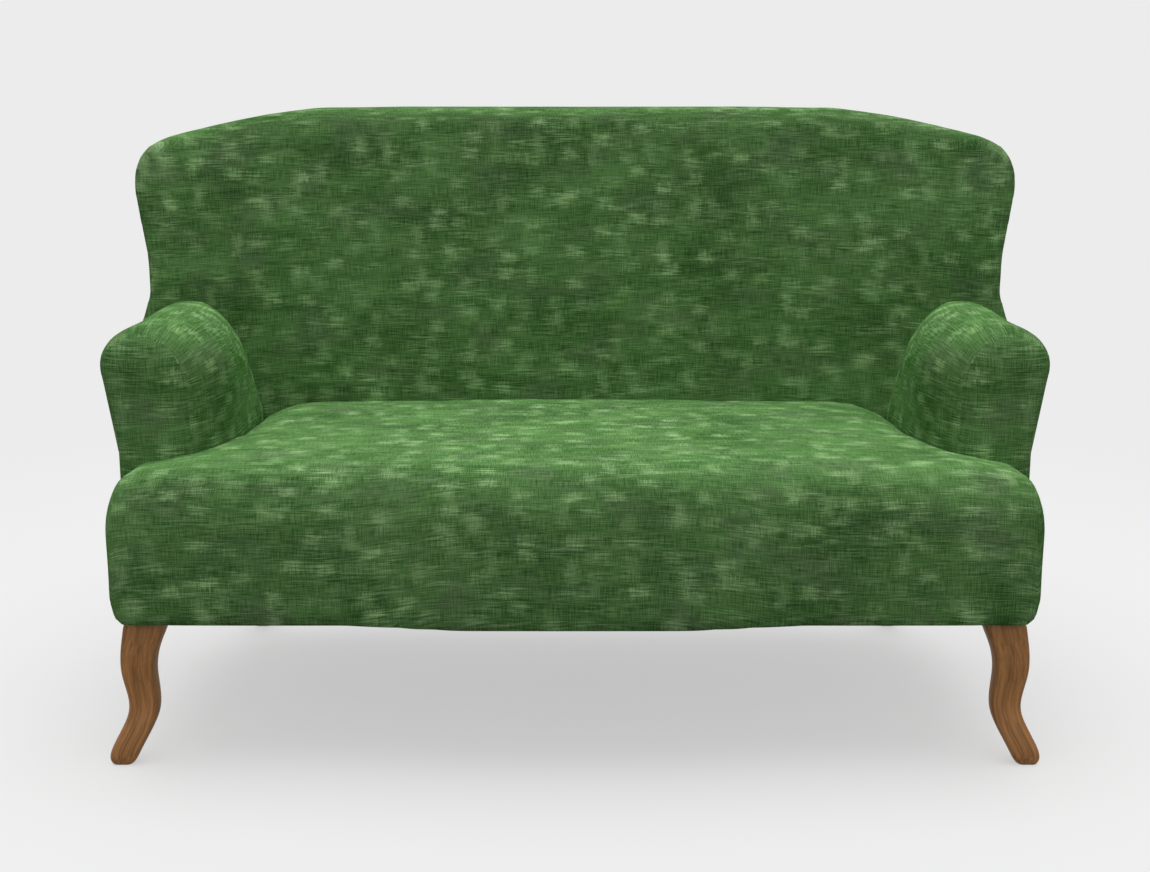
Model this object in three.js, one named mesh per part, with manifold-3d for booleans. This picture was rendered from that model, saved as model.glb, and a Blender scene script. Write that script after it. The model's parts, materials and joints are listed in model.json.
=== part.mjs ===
// High back settee: a tight-upholstered two-seater on a hardwood frame.
// Millimetres, +Z up, the front of the settee faces -Y, +X is on the viewer's right.
// While the pieces are made, y = 0 is the front of the seat at its sides; the last lines centre the whole.
import * as THREE from 'three';
import { mergeVertices } from 'three/addons/utils/BufferGeometryUtils.js';
import Module from 'manifold-3d';

const wasm = await Module();
wasm.setup();

// Overall sizes
const SEAT_WIDTH = 1408;
const SEAT_HEIGHT = 460;
const SEAT_DEPTH = 600;
const BACK_OVERHANG = 64;
const BACK_WIDTH = SEAT_WIDTH + 2 * BACK_OVERHANG;
const BACK_HEIGHT = 995;
const BACK_THICKNESS = 117;
const ARM_OVERHANG = 20;
const ARM_SPREAD = SEAT_WIDTH + 2 * ARM_OVERHANG;
const ARM_HEIGHT = 661;
const ARM_WIDTH = 155;
const UPHOLSTERY_BOTTOM = 230.5;

// Layers and clearances
const COVER = 3;
const SEAT_GAP = 0.4;
const CUT_GAP = 0.55;
const OVERRUN = 60;
const END_STEPS = 3;
const END_TURN_SHARE = 0.94;

// Seat form
const SEAT_CREST_RADIUS = 72;
const SEAT_END_RADIUS = 22;
const SEAT_END_HEIGHT = 42;
const SEAT_HEM_RADIUS = 12;
const SEAT_BOW = 27;
const SEAT_BOW_FLAT = 130;
const SEAT_BOW_END = 370;
const SEAT_CROWN = 9;
const SEAT_SHOULDER = 16;
const SEAT_SHOULDER_RUN = 114;
const SEAT_SHOULDER_START = SEAT_WIDTH / 2 - SEAT_SHOULDER_RUN;
const SEAT_TUCK = 70;
const SEAT_DIP = 33;
const SEAT_DIP_START = 470;
const SEAT_DIP_END = 580;

// Back form
const BACK_FRONT_RADIUS = 38;
const BACK_REAR_RADIUS = 26;
const BACK_END_RADIUS = 40;
const BACK_END_HEIGHT = 54;
const BACK_RAKE = 66;
const BACK_WING = 150;
const BACK_WING_RUN = 308;
const BACK_WING_START = BACK_WIDTH / 2 - BACK_WING_RUN;
const BACK_ARCH = 67;
const BACK_ARCH_RUN = 368;
const BACK_ARCH_START = BACK_WIDTH / 2 - BACK_ARCH_RUN;
const BACK_CROWN = 10;

// Arm form
const ARM_FRONT = 168;
const ARM_TUCK = 20;
const ARM_REAR = SEAT_DEPTH + ARM_TUCK;
const ARM_FLARE = 30;
const ARM_NOSE_DROP = 30;
const ARM_ROLL_OUTER = 72;
const ARM_ROLL_DROP = 50;
const ARM_ROLL_INNER_DROP = 102;
const ARM_NOSE_RADIUS = 20;
const ARM_NOSE_HEIGHT = 20;

// Frame timber
const BOARD = 28;
const RAIL_HEIGHT = 96;
const RAIL_BOTTOM = 234;
const RAIL_INSET = 22;
const RAIL_SPREAD = SEAT_WIDTH - 2 * RAIL_INSET;
const FRONT_PADDING = 14;
const BLOCK_LEG = 92;
const BLOCK_HEIGHT = 60;
const BLOCK_RISE = 16;
const BRACE_SPACING = 460;
const BRACE_WIDTH = 22;
const BRACE_HEIGHT = 58;
const BACK_PADDING = 84;
const POST_WIDTH = 44;
const POST_INSET = 60;
const POST_OUTER = BACK_WIDTH / 2 - POST_INSET;
const TOP_RAIL_HEIGHT = 76;
const TOP_PADDING = 30;
const TACK_RAIL_BOTTOM = 482;
const TACK_RAIL_HEIGHT = 50;
const UPRIGHT_WIDTH = 45;
const UPRIGHT_SPACING = 430;

// Arm timber
const ARM_POST_FRONT = 196;
const ARM_PAD = 16;
const ARM_RAIL_WIDTH = 56;
const ARM_RAIL_THICKNESS = 30;
const ARM_RAIL_TOP_PAD = 26;
const ARM_TACK_WIDTH = 24;
const ARM_TACK_HEIGHT = 36;
const ARM_TACK_BOTTOM = 400;
const ARM_PANEL_TOP = 590;
const ARM_INNER_PAD = 46;

// Seat suspension
const HESSIAN = 1.2;
const HESSIAN_INSET = 137;
const HESSIAN_SPREAD = RAIL_SPREAD - 2 * HESSIAN_INSET;
const SPRING_COUNT = 8;
const SPRING_MARGIN = 55;
const SPRING_SPACING = (HESSIAN_SPREAD - 2 * SPRING_MARGIN) / (SPRING_COUNT - 1);
const SPRING_WIRE = 3.6;
const SPRING_LOOP = 48;
const SPRING_TURNS = 12;
const SPRING_ARCH = 14;
const SPRING_SIDES = 4;
const SPRING_STEPS_PER_TURN = 4;
const CLIP_THICKNESS = 1.5;
const CLIP_WIDTH = 20;
const TIE_WIRE = 3;

// Back suspension
const WEB_WIDTH = 50;
const WEB_THICKNESS = 1.4;
const WEB_LAP = 34;
const WEB_COUNT = 4;
const WEB_MARGIN = 285;
const BACK_HESSIAN_INSET = 63;
const BACK_HESSIAN_SPREAD = 2 * (POST_OUTER - BACK_HESSIAN_INSET);
const WEB_SPACING = (BACK_HESSIAN_SPREAD - 2 * WEB_MARGIN) / (WEB_COUNT - 1);

// Legs
const FRONT_LEG_INSET = 26;
const FRONT_LEG_SPREAD = RAIL_SPREAD - 2 * FRONT_LEG_INSET;
const FRONT_LEG_Y = 53;
const FRONT_LEG_WIDTH = 69;
const FRONT_LEG_DEPTH = 46;
const FRONT_LEG_KICK = 47;
const FRONT_LEG_STEP = 17;
const FRONT_LEG_EDGE = 9;
const REAR_LEG_INSET = 72;
const REAR_LEG_SPREAD = RAIL_SPREAD - 2 * REAR_LEG_INSET;
const REAR_LEG_BEHIND = 38;
const REAR_LEG_TOP_Y = SEAT_DEPTH + REAR_LEG_BEHIND;
const REAR_LEG_RAKE = 78;
const REAR_LEG_WIDTH = 46;
const REAR_LEG_DEPTH = 44;
const REAR_LEG_EDGE = 6;
const STUD_DIAMETER = 8;
const STUD_LENGTH = 74;
const STUD_IN_LEG = 36;
const STUD_SIDES = 12;
const STUD_INSET = 12;
const DUST_COVER = 1;
const DUST_COVER_INSET = 22;

// Where the curves of the back are taken, as shares of half its width and of its height
const backAcrossShares = [0, 0.22, 0.42, 0.61, 0.69, 0.77, 0.84, 0.9, 0.94];
const backUpShares = [0, 0.14, 0.28, 0.4, 0.52, 0.64, 0.76, 0.88, 1];
const backWidthShares = [0.946, 0.946, 0.95, 0.968, 0.996, 0.964, 0.977, 0.999, 1];

// How the top of the seat sinks towards its rear corners: shares across, along, and of the full sink
const seatDipShares = [0, 0.34, 0.68, 1];
const seatRunShares = [0.34, 0.52, 0.7, 0.92];
const seatSinkShares = [0, 0.16, 0.5, 1];

// Arm along its length, front to rear: place, width at seat level and on top, drop and flare
const armAlongShares = [0, 0.045, 0.1, 0.16, 0.22, 0.3, 0.4, 0.6, 0.85, 1];
const armWidthShares = [0.62, 0.73, 0.82, 0.89, 0.94, 1, 1.03, 1.03, 1.02, 1.02];
const armTopWidthShares = [0.78, 0.89, 0.96, 1.03, 1.09, 1.13, 1.13, 1.06, 0.84, 0.78];
const armDropShares = [1, 0.4, 0.13, 0.08, 0.07, 0.06, 0.04, 0, 0, 0];
const armFlareShares = [1, 1, 1, 0.97, 0.93, 0.88, 0.82, 0.8, 0.8, 0.8];

// Front leg from sole to top: height, outward kick, width and depth, each a share of its own full size
const frontLegHeightShares = [0, 0.012, 0.045, 0.1, 0.2, 0.3, 0.38, 0.48, 0.58, 0.68, 0.8, 0.92, 1];
const frontLegKickShares = [0.98, 0.97, 0.94, 0.85, 0.58, 0.33, 0.25, 0.3, 0.36, 0.36, 0.26, 0.07, 0];
const frontLegStepShares = [0.8, 0.82, 0.84, 0.76, 0.36, -0.1, -0.38, -0.42, -0.16, 0.16, 0.34, 0.16, 0];
const frontLegWidthShares = [0.42, 0.52, 0.63, 0.68, 0.69, 0.68, 0.68, 0.72, 0.76, 0.78, 0.83, 0.94, 1];
const frontLegDepthShares = [0.42, 0.52, 0.64, 0.71, 0.72, 0.71, 0.71, 0.74, 0.78, 0.82, 0.88, 0.96, 1];
const rearLegHeightShares = [0, 0.03, 0.25, 0.5, 0.75, 1];
const rearLegRakeShares = [1, 0.96, 0.66, 0.36, 0.13, 0];
const rearLegWidthShares = [0.64, 0.7, 0.75, 0.82, 0.92, 1];

const FLOOR_TO_RAIL = RAIL_BOTTOM - SEAT_GAP;
const RAIL_TOP = RAIL_BOTTOM + RAIL_HEIGHT;
const RAIL_INNER = RAIL_SPREAD / 2 - BOARD;
const FRAME_FRONT = BACK_PADDING;
const FRAME_REAR = FRAME_FRONT + BOARD;
const TOP_RAIL_TOP = BACK_HEIGHT - TOP_PADDING;
const TOP_RAIL_BOTTOM = TOP_RAIL_TOP - TOP_RAIL_HEIGHT;

const finish = {
  fabric: new THREE.MeshStandardMaterial({ color: 0x3c5b30, roughness: 0.85, metalness: 0 }),
  foam: new THREE.MeshStandardMaterial({ color: 0xe6dfc4, roughness: 0.95, metalness: 0 }),
  leg: new THREE.MeshStandardMaterial({ color: 0x73502f, roughness: 0.5, metalness: 0 }),
  beech: new THREE.MeshStandardMaterial({ color: 0xc7a06c, roughness: 0.75, metalness: 0 }),
  steel: new THREE.MeshStandardMaterial({ color: 0x8a8c8e, roughness: 0.4, metalness: 0.9 }),
  jute: new THREE.MeshStandardMaterial({ color: 0xa58a5c, roughness: 0.95, metalness: 0 }),
  lining: new THREE.MeshStandardMaterial({ color: 0x1c1c1d, roughness: 0.95, metalness: 0 }),
};

const settee = new THREE.Group();

function add(name, geometry, material) {
  geometry.computeVertexNormals();
  const mesh = new THREE.Mesh(geometry, material);
  mesh.name = name;
  settee.add(mesh);
}

// Value between the entries of a table, so that neighbours share the same facets
function between(places, values, place) {
  if (place <= places[0]) {
    return values[0];
  }
  for (let i = 1; i < places.length; i += 1) {
    if (place <= places[i]) {
      const share = (place - places[i - 1]) / (places[i] - places[i - 1]);
      return values[i - 1] + share * (values[i] - values[i - 1]);
    }
  }
  return values[values.length - 1];
}

// The stations strictly inside a stretch, with the stretch's own ends
function stretch(stations, from, to) {
  return [from, ...stations.filter((s) => s > from + COVER && s < to - COVER), to];
}

function mirrored(places) {
  return [...places.filter((p) => p > 0).map((p) => -p).reverse(), ...places];
}

function squareOver(value, start, end) {
  const share = Math.max(0, (value - start) / (end - start));
  return share * share;
}

function smooth(share) {
  const s = THREE.MathUtils.clamp(share, 0, 1);
  return s * s * (3 - 2 * s);
}

function outward(geometry) {
  const p = geometry.attributes.position;
  const index = geometry.index;
  const [a, b, c] = [new THREE.Vector3(), new THREE.Vector3(), new THREE.Vector3()];
  let volume = 0;
  for (let i = 0; i < index.count; i += 3) {
    a.fromBufferAttribute(p, index.getX(i));
    b.fromBufferAttribute(p, index.getX(i + 1));
    c.fromBufferAttribute(p, index.getX(i + 2));
    volume += a.dot(b.cross(c));
  }
  if (volume < 0) {
    for (let i = 0; i < index.count; i += 3) {
      const first = index.getX(i);
      index.setX(i, index.getX(i + 1));
      index.setX(i + 1, first);
    }
  }
  return geometry;
}

// A closed skin through rings of points, each ring drawn the same way round
function loft(rings) {
  const size = rings[0].length;
  const positions = rings.flat().flatMap((p) => [p.x, p.y, p.z]);
  const indices = [];
  for (let r = 0; r + 1 < rings.length; r += 1) {
    for (let i = 0; i < size; i += 1) {
      const next = (i + 1) % size;
      const [a, b, c, d] = [r * size + i, r * size + next, (r + 1) * size + i, (r + 1) * size + next];
      indices.push(a, b, c, b, d, c);
    }
  }
  for (const [first, flip] of [[0, true], [(rings.length - 1) * size, false]]) {
    for (const [a, b, c] of ladder(size)) {
      indices.push(first + a, first + (flip ? c : b), first + (flip ? b : c));
    }
  }
  const geometry = new THREE.BufferGeometry();
  geometry.setAttribute('position', new THREE.Float32BufferAttribute(positions, 3));
  geometry.setIndex(indices);
  return outward(geometry);
}

// Triangles that close a ring, laid like rungs between its two long sides
function ladder(size) {
  const triangles = [];
  let low = 1;
  let high = size;
  while (high - low > 1) {
    triangles.push([high % size, low, low + 1]);
    low += 1;
    if (high - low > 1) {
      triangles.push([high % size, low, high - 1]);
      high -= 1;
    }
  }
  return triangles;
}

// A box divided at the given places along each axis, then carried through a bend
function lattice(xs, ys, zs, bend) {
  const positions = [];
  const indices = [];
  const axes = [xs, ys, zs];
  for (let axis = 0; axis < 3; axis += 1) {
    const us = axes[(axis + 1) % 3];
    const vs = axes[(axis + 2) % 3];
    for (const end of [0, axes[axis].length - 1]) {
      const first = positions.length / 3;
      for (const u of us) {
        for (const v of vs) {
          const place = [];
          place[axis] = axes[axis][end];
          place[(axis + 1) % 3] = u;
          place[(axis + 2) % 3] = v;
          positions.push(...bend(...place).toArray());
        }
      }
      for (let i = 0; i + 1 < us.length; i += 1) {
        for (let j = 0; j + 1 < vs.length; j += 1) {
          const a = first + i * vs.length + j;
          const b = a + vs.length;
          const quad = end === 0 ? [a, a + 1, b, a + 1, b + 1, b] : [a, b, a + 1, a + 1, b, b + 1];
          indices.push(...quad);
        }
      }
    }
  }
  const geometry = new THREE.BufferGeometry();
  geometry.setAttribute('position', new THREE.Float32BufferAttribute(positions, 3));
  geometry.setIndex(indices);
  return outward(mergeVertices(geometry));
}

function solid(geometry) {
  const merged = mergeVertices(geometry);
  return new wasm.Manifold(new wasm.Mesh({
    numProp: 3,
    vertProperties: new Float32Array(merged.attributes.position.array),
    triVerts: new Uint32Array(merged.index.array),
  }));
}

function skin(body) {
  const mesh = body.getMesh();
  const geometry = new THREE.BufferGeometry();
  geometry.setAttribute('position', new THREE.BufferAttribute(new Float32Array(mesh.vertProperties), 3));
  geometry.setIndex(new THREE.BufferAttribute(new Uint32Array(mesh.triVerts), 1));
  return geometry;
}

function without(geometry, cutters) {
  return skin(cutters.reduce((body, cutter) => body.subtract(solid(cutter)), solid(geometry)));
}

function within(geometry, limit) {
  return skin(solid(geometry).intersect(solid(limit)));
}

function mirrorX(geometry) {
  return outward(geometry.clone().scale(-1, 1, 1));
}

const straight = (x, y, z) => new THREE.Vector3(x, y, z);

// Seat: its front edge bows forward in the middle and its top is crowned
const bowStations = [0, 0.28, 0.5, 0.72, 1].map((s) => SEAT_BOW_FLAT + s * (SEAT_BOW_END - SEAT_BOW_FLAT));
const bowShares = bowStations.map((x) => smooth((SEAT_BOW_END - x) / (SEAT_BOW_END - SEAT_BOW_FLAT)));
const seatShoulder = (SEAT_SHOULDER_START + SEAT_WIDTH / 2 - SEAT_END_RADIUS) / 2;
const dipPlaces = seatDipShares.map((s) => SEAT_DIP_START + s * (SEAT_DIP_END - SEAT_DIP_START));
const dipDepths = seatDipShares.map((s) => SEAT_DIP * s * s);
const seatRunPlaces = seatRunShares.map((s) => s * SEAT_DEPTH);
const seatStations = mirrored([0, ...bowStations, ...dipPlaces, SEAT_SHOULDER_START, seatShoulder,
  SEAT_WIDTH / 2 - SEAT_END_RADIUS]);

function bowAt(x) {
  return SEAT_BOW * between(bowStations, bowShares, Math.abs(x));
}

function seatBend(x, y, z) {
  const forward = 1 - smooth(y / SEAT_DEPTH);
  const over = 1 - squareOver(Math.abs(x), 0, SEAT_WIDTH / 2);
  const up = Math.max(0, (z - RAIL_TOP) / (SEAT_HEIGHT - RAIL_TOP));
  const shoulder = SEAT_SHOULDER * squareOver(Math.abs(x), SEAT_SHOULDER_START, SEAT_WIDTH / 2);
  const dip = between(dipPlaces, dipDepths, Math.abs(x)) * between(seatRunPlaces, seatSinkShares, y);
  return new THREE.Vector3(x, y - bowAt(x) * forward, z + (SEAT_CROWN * over - shoulder - dip) * up);
}

// Quarter turn of an outline about a centre, from one angle to another
function turn(centreY, centreZ, radiusY, radiusZ, from, to, steps) {
  const points = [];
  for (let i = 0; i <= steps; i += 1) {
    const angle = from + (i / steps) * (to - from);
    points.push(new THREE.Vector2(centreY + radiusY * Math.cos(angle), centreZ + radiusZ * Math.sin(angle)));
  }
  return points;
}

function seatOutline(grow) {
  const rear = SEAT_DEPTH + SEAT_TUCK + grow;
  const bottom = UPHOLSTERY_BOTTOM - grow;
  const top = SEAT_HEIGHT + grow;
  const hem = SEAT_HEM_RADIUS + grow;
  const crest = SEAT_CREST_RADIUS + grow;
  return [
    new THREE.Vector2(rear, bottom),
    ...turn(-grow + hem, bottom + hem, hem, hem, -Math.PI / 2, -Math.PI, 2),
    new THREE.Vector2(-grow, RAIL_TOP),
    ...turn(-grow + crest, top - crest, crest, crest, Math.PI, Math.PI / 2, 5),
    ...seatRunPlaces.map((y) => new THREE.Vector2(y, top)),
    new THREE.Vector2(rear, top),
  ];
}

// Rings of an outline along a form whose ends are rounded over
function roundedEnds(half, radius, steps) {
  const ends = [];
  for (let i = 1; i <= steps; i += 1) {
    const angle = (i / steps) * (Math.PI / 2) * END_TURN_SHARE;
    ends.push({ place: half - radius + radius * Math.sin(angle), closing: 1 - Math.cos(angle) });
  }
  return ends;
}

function inset(outline, across, upright) {
  const box = new THREE.Box2().setFromPoints(outline);
  const centre = box.getCenter(new THREE.Vector2());
  const size = box.getSize(new THREE.Vector2());
  const shrinkY = 1 - (2 * across) / size.x;
  const shrinkZ = 1 - (2 * upright) / size.y;
  return outline.map((p) => new THREE.Vector2(
    centre.x + (p.x - centre.x) * shrinkY,
    centre.y + (p.y - centre.y) * shrinkZ,
  ));
}

function loftAcross(outline, stations, half, radius, height, bend) {
  const middle = stations.filter((x) => Math.abs(x) < half - radius + COVER / 2);
  const right = roundedEnds(half, radius, END_STEPS);
  const rings = [
    ...right.map(({ place, closing }) => ({ x: -place, closing })).reverse(),
    ...middle.map((x) => ({ x, closing: 0 })),
    ...right.map(({ place, closing }) => ({ x: place, closing })),
  ];
  return loft(rings.map(({ x, closing }) => (
    inset(outline, radius * closing, height * closing).map((p) => bend(x, p.x, p.y)))));
}

function seatForm(grow) {
  const half = SEAT_WIDTH / 2 + grow;
  const radius = SEAT_END_RADIUS + grow;
  return loftAcross(seatOutline(grow), seatStations, half, radius, SEAT_END_HEIGHT + grow, seatBend);
}

// Back: a flat panel in its own width, depth and height, bent forward at the sides and arched on top
const backHalf = BACK_WIDTH / 2;
const backStations = mirrored(backAcrossShares.map((s) => s * backHalf));
const backLevels = backUpShares.map((s) => UPHOLSTERY_BOTTOM + s * (BACK_HEIGHT - UPHOLSTERY_BOTTOM));
const wingPlaces = [...backAcrossShares, 1].map((s) => s * backHalf);
const wingDepths = wingPlaces.map((x) => BACK_WING * squareOver(x, BACK_WING_START, backHalf));
const archDrops = wingPlaces.map((x) => BACK_ARCH * squareOver(x, BACK_ARCH_START, backHalf));
const overSeat = (z) => Math.max(0, (z - SEAT_HEIGHT) / (BACK_HEIGHT - SEAT_HEIGHT));
const rakeSteps = backLevels.map((z) => BACK_RAKE * overSeat(z) ** 1.2);

function backBend(x, depth, z) {
  const side = Math.abs(x);
  const lift = overSeat(z);
  const wide = between(backLevels, backWidthShares, z);
  const y = SEAT_DEPTH + depth - between(wingPlaces, wingDepths, side) + between(backLevels, rakeSteps, z);
  return new THREE.Vector3(x * wide, y, z - lift * between(wingPlaces, archDrops, side));
}

function backOutline(grow) {
  const front = BACK_FRONT_RADIUS + grow;
  const rear = BACK_REAR_RADIUS + grow;
  const deep = BACK_THICKNESS + grow;
  const top = BACK_HEIGHT + grow;
  const bottom = UPHOLSTERY_BOTTOM - grow;
  const levels = backLevels.filter((z) => z > bottom + COVER * 2 && z < top - front - COVER);
  const rise = (z) => (z - SEAT_HEIGHT) / (top - SEAT_HEIGHT);
  const crown = (z) => BACK_CROWN * smooth(2 * rise(z)) * smooth(2 * (1 - rise(z)));
  return [
    new THREE.Vector2(deep, bottom),
    new THREE.Vector2(-grow, bottom),
    ...levels.map((z) => new THREE.Vector2(-grow - crown(z), z)),
    ...turn(-grow + front, top - front, front, front, Math.PI, Math.PI / 2, 3),
    ...turn(deep - rear, top - rear, rear, rear, Math.PI / 2, 0, 2),
    ...levels.reverse().map((z) => new THREE.Vector2(deep, z)),
  ];
}

function backForm(grow) {
  const half = backHalf + grow;
  const radius = BACK_END_RADIUS + grow;
  return loftAcross(backOutline(grow), backStations, half, radius, BACK_END_HEIGHT + grow, backBend);
}

function backPiece(x0, x1, depth0, depth1, z0, z1) {
  return lattice(stretch(backStations, x0, x1), [depth0, depth1], stretch(backLevels, z0, z1), backBend);
}

// Arm: an outline of width and height, drawn along the arm, narrow at its rounded nose
const armOuter = ARM_SPREAD / 2;
const armStations = armAlongShares.map((s) => ARM_FRONT + s * (ARM_REAR - ARM_FRONT));

function armBend(side) {
  return (inwards, y, z) => {
    const up = Math.max(0, (z - SEAT_HEIGHT) / (ARM_HEIGHT - SEAT_HEIGHT));
    const flare = ARM_FLARE * between(armStations, armFlareShares, y) * up;
    const low = between(armStations, armWidthShares, y);
    const wide = low + (between(armStations, armTopWidthShares, y) - low) * up;
    const drop = ARM_NOSE_DROP * between(armStations, armDropShares, y) * up;
    return new THREE.Vector3(side * (armOuter + flare - inwards * wide), y, z - drop);
  };
}

function armOutline(grow) {
  const bottom = UPHOLSTERY_BOTTOM - grow;
  const outerDrop = ARM_ROLL_DROP + grow;
  const innerDrop = ARM_ROLL_INNER_DROP + grow;
  const outerRun = ARM_ROLL_OUTER + grow;
  const innerRun = ARM_WIDTH - ARM_ROLL_OUTER + grow;
  const crest = ARM_ROLL_OUTER;
  return [
    new THREE.Vector2(ARM_WIDTH + grow, bottom),
    new THREE.Vector2(-grow, bottom),
    new THREE.Vector2(-grow, SEAT_HEIGHT),
    ...turn(crest, ARM_HEIGHT - ARM_ROLL_DROP, outerRun, outerDrop, Math.PI, Math.PI / 2, 5),
    ...turn(crest, ARM_HEIGHT - ARM_ROLL_INNER_DROP, innerRun, innerDrop, Math.PI / 2, 0, 5).slice(1),
    new THREE.Vector2(ARM_WIDTH + grow, SEAT_HEIGHT),
  ];
}

function armForm(grow) {
  const outline = armOutline(grow);
  const radius = ARM_NOSE_RADIUS + grow;
  const height = ARM_NOSE_HEIGHT + grow;
  const nose = roundedEnds(-ARM_FRONT + grow, radius, END_STEPS).reverse();
  const rings = [
    ...nose.map(({ place, closing }) => ({ y: -place, closing })),
    ...armStations.filter((y) => y > ARM_FRONT - grow + radius).map((y) => ({ y, closing: 0 })),
  ];
  return loft(rings.map(({ y, closing }) => (
    inset(outline, radius * closing, height * closing).map((p) => armBend(1)(p.x, y, p.y)))));
}

function armPiece(w0, w1, y0, y1, z0, z1) {
  return lattice([w0, w1], stretch(armStations, y0, y1), stretch([SEAT_HEIGHT], z0, z1), armBend(1));
}

// Legs
function roundedSection(centreX, centreY, z, width, depth, edge) {
  const radius = Math.min(edge, width / 3, depth / 3);
  const points = [];
  for (const [sx, sy, start] of [[1, 1, 0], [-1, 1, 1], [-1, -1, 2], [1, -1, 3]]) {
    for (const step of [0, 1, 2]) {
      const angle = ((start + step / 2) * Math.PI) / 2;
      points.push(new THREE.Vector3(
        centreX + sx * (width / 2 - radius) + radius * Math.cos(angle),
        centreY + sy * (depth / 2 - radius) + radius * Math.sin(angle),
        z,
      ));
    }
  }
  return points;
}

function frontLeg() {
  return loft(frontLegHeightShares.map((share, i) => roundedSection(
    FRONT_LEG_SPREAD / 2 + FRONT_LEG_KICK * frontLegKickShares[i],
    FRONT_LEG_Y - FRONT_LEG_STEP * frontLegStepShares[i],
    FLOOR_TO_RAIL * share,
    FRONT_LEG_WIDTH * frontLegWidthShares[i],
    FRONT_LEG_DEPTH * frontLegDepthShares[i],
    FRONT_LEG_EDGE,
  )));
}

function rearLeg() {
  return loft(rearLegHeightShares.map((share, i) => roundedSection(
    REAR_LEG_SPREAD / 2,
    REAR_LEG_TOP_Y + REAR_LEG_RAKE * rearLegRakeShares[i],
    FLOOR_TO_RAIL * share,
    REAR_LEG_WIDTH * rearLegWidthShares[i],
    REAR_LEG_DEPTH * rearLegWidthShares[i],
    REAR_LEG_EDGE,
  )));
}

function stud(x, y, grow) {
  const length = STUD_LENGTH + 2 * grow;
  const radius = STUD_DIAMETER / 2 + grow;
  const rod = new THREE.CylinderGeometry(radius, radius, length, STUD_SIDES);
  rod.deleteAttribute('normal');
  rod.deleteAttribute('uv');
  rod.rotateX(Math.PI / 2);
  rod.translate(x, y, FLOOR_TO_RAIL - STUD_IN_LEG + STUD_LENGTH / 2);
  return mergeVertices(rod);
}

const frontStud = [FRONT_LEG_SPREAD / 2 - STUD_INSET, FRONT_LEG_Y + STUD_INSET];
const rearStud = [REAR_LEG_SPREAD / 2, REAR_LEG_TOP_Y];

function box(x0, x1, y0, y1, z0, z1) {
  return lattice([x0, x1], [y0, y1], [z0, z1], straight);
}

function addPair(name, geometry, material) {
  add(`${name}_left`, mirrorX(geometry), material);
  add(`${name}_right`, geometry, material);
}

// Seat frame: a bowed front rail, two side rails and a curved back rail
function frontRailForm(grow) {
  const half = RAIL_SPREAD / 2 + grow;
  const bow = (x, y, z) => new THREE.Vector3(x, y - bowAt(x), z);
  const rail = [FRONT_PADDING - grow, FRONT_PADDING + BOARD + grow];
  return lattice(stretch(seatStations, -half, half), rail, [RAIL_BOTTOM - grow, RAIL_TOP + grow], bow);
}

function backRailForm(grow) {
  const half = POST_OUTER - POST_WIDTH - CUT_GAP + grow;
  return backPiece(-half, half, FRAME_FRONT - grow, FRAME_REAR + grow, RAIL_BOTTOM - grow, RAIL_TOP + grow);
}

function postForm(grow) {
  const bottom = RAIL_BOTTOM - grow;
  const top = TOP_RAIL_BOTTOM - SEAT_GAP + grow;
  const inner = POST_OUTER - POST_WIDTH - grow;
  return backPiece(inner, POST_OUTER + grow, FRAME_FRONT - grow, FRAME_REAR + grow, bottom, top);
}

function sideRailForm(grow) {
  const front = FRONT_PADDING + BOARD + SEAT_GAP - grow;
  const rear = backBend(POST_OUTER, FRAME_FRONT, RAIL_TOP).y - CUT_GAP + grow;
  return box(RAIL_INNER - grow, RAIL_SPREAD / 2 + grow, front, rear, RAIL_BOTTOM - grow, RAIL_TOP + grow);
}

function cornerBlock(cornerX, cornerY, farY, towards) {
  const shape = new THREE.Shape([
    new THREE.Vector2(cornerX, cornerY),
    new THREE.Vector2(cornerX, cornerY + towards * BLOCK_LEG),
    new THREE.Vector2(cornerX - BLOCK_LEG, farY),
  ]);
  const block = new THREE.ExtrudeGeometry(shape, { depth: BLOCK_HEIGHT, bevelEnabled: false });
  block.deleteAttribute('normal');
  block.deleteAttribute('uv');
  block.translate(0, 0, RAIL_BOTTOM + BLOCK_RISE);
  return outward(mergeVertices(block));
}

function addSeatFrame() {
  const corner = RAIL_INNER - SEAT_GAP;
  const frontCorner = FRONT_PADDING + BOARD + SEAT_GAP;
  const railFront = (x) => backBend(x / backWidthShares[0], FRAME_FRONT, RAIL_TOP).y - CUT_GAP;
  const rearBlock = cornerBlock(corner, railFront(corner), railFront(corner - BLOCK_LEG), -1);
  add('front_rail', frontRailForm(0), finish.beech);
  const studHole = stud(...rearStud, SEAT_GAP);
  add('back_rail', without(backRailForm(0), [studHole, mirrorX(studHole)]), finish.beech);
  addPair('side_rail', sideRailForm(0), finish.beech);
  addPair('front_corner_block', without(cornerBlock(corner, frontCorner, frontCorner, 1),
    [stud(...frontStud, SEAT_GAP)]), finish.beech);
  addPair('rear_corner_block', rearBlock, finish.beech);
  const braceRear = backBend(0, FRAME_FRONT, RAIL_TOP).y - SEAT_GAP;
  const x = BRACE_SPACING / 2;
  const brace = box(x - BRACE_WIDTH / 2, x + BRACE_WIDTH / 2, 0, braceRear,
    RAIL_BOTTOM, RAIL_BOTTOM + BRACE_HEIGHT);
  const ahead = box(0, SEAT_WIDTH, -OVERRUN - SEAT_BOW, 0, 0, RAIL_TOP);
  addPair('seat_brace', without(brace, [frontRailForm(SEAT_GAP), ahead]), finish.beech);
}

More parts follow.
